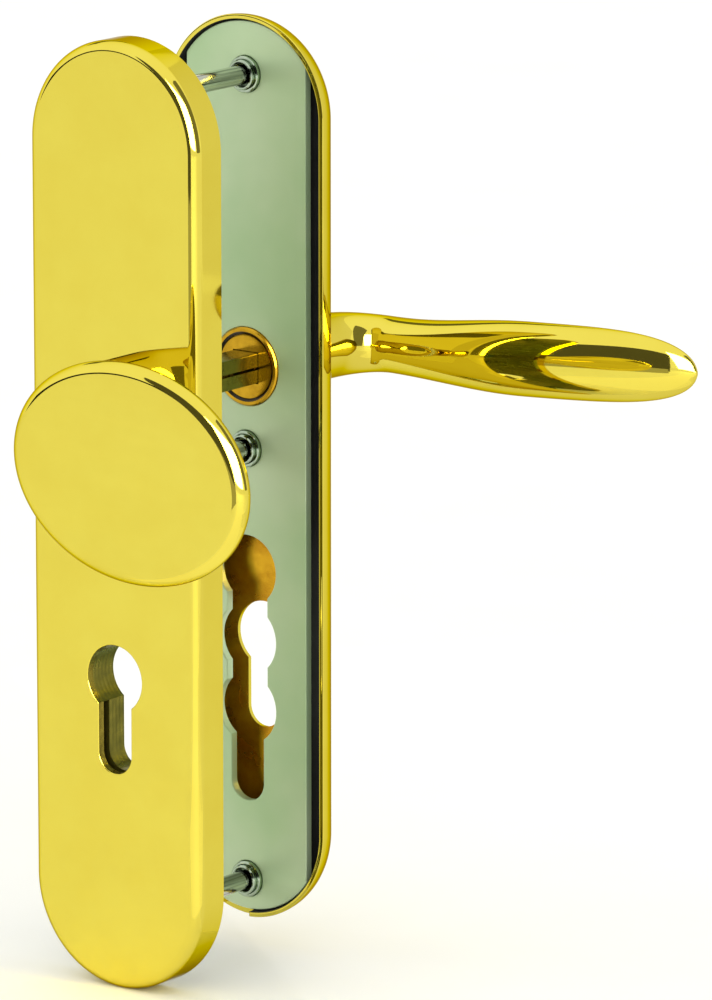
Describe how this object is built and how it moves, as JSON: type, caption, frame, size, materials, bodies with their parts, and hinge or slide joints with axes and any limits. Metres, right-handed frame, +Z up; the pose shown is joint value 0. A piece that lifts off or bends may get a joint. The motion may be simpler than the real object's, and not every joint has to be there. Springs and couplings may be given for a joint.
{
  "type": "door plate set",
  "caption": "Security door-plate set: long brass plates with a fixed cranked outside knob and a sprung inside lever, cut out for a euro profile cylinder.",
  "frame": {"origin": "spindle axis on the door's outside face, where the outside plate seats", "axes": "+X to the right as seen from outside, +Y through the door into the room, along the spindle, +Z up"},
  "size_m": [0.1324, 0.1575, 0.245],
  "materials": {
    "polished_brass": "mirror polished and lacquered",
    "turned_brass": "turned",
    "plated_spindle": "yellow zinc plated",
    "zinc_plated_steel": "zinc plated",
    "steel": "plain",
    "nylon": "moulded"
  },
  "bodies": {
    "plates": {"outside_cover": "polished_brass", "outside_base_plate": "steel", "threaded_post_top": "steel", "threaded_post_middle": "steel", "threaded_post_bottom": "steel", "fixed_knob": "polished_brass", "knob_screw": "steel", "knob_dowels": "steel", "inside_cover": "polished_brass", "inside_base_plate": "zinc_plated_steel", "lever_bush": "turned_brass", "snap_ring": "steel", "glide_ring": "nylon", "return_spring": "steel", "spring_peg": "steel", "fixing_bolt_top": "steel", "fixing_bolt_middle": "steel", "fixing_bolt_bottom": "steel", "bolt_collar_top": "zinc_plated_steel", "bolt_collar_middle": "zinc_plated_steel", "bolt_collar_bottom": "zinc_plated_steel"},
    "lever": {"lever_handle": "polished_brass", "square_spindle": "plated_spindle", "grub_screw": "steel", "stop_pin": "steel"}
  },
  "joints": [
    {"name": "lever_turn", "type": "hinge", "parent": "plates", "child": "lever", "pos_m": [0, 0.044, 0], "axis": [0, 1, 0], "range_deg": [0, 40], "stiffness_Nm_per_rad": 1.2, "springref_deg": -28.65, "deforming": ["return_spring"]}
  ]
}
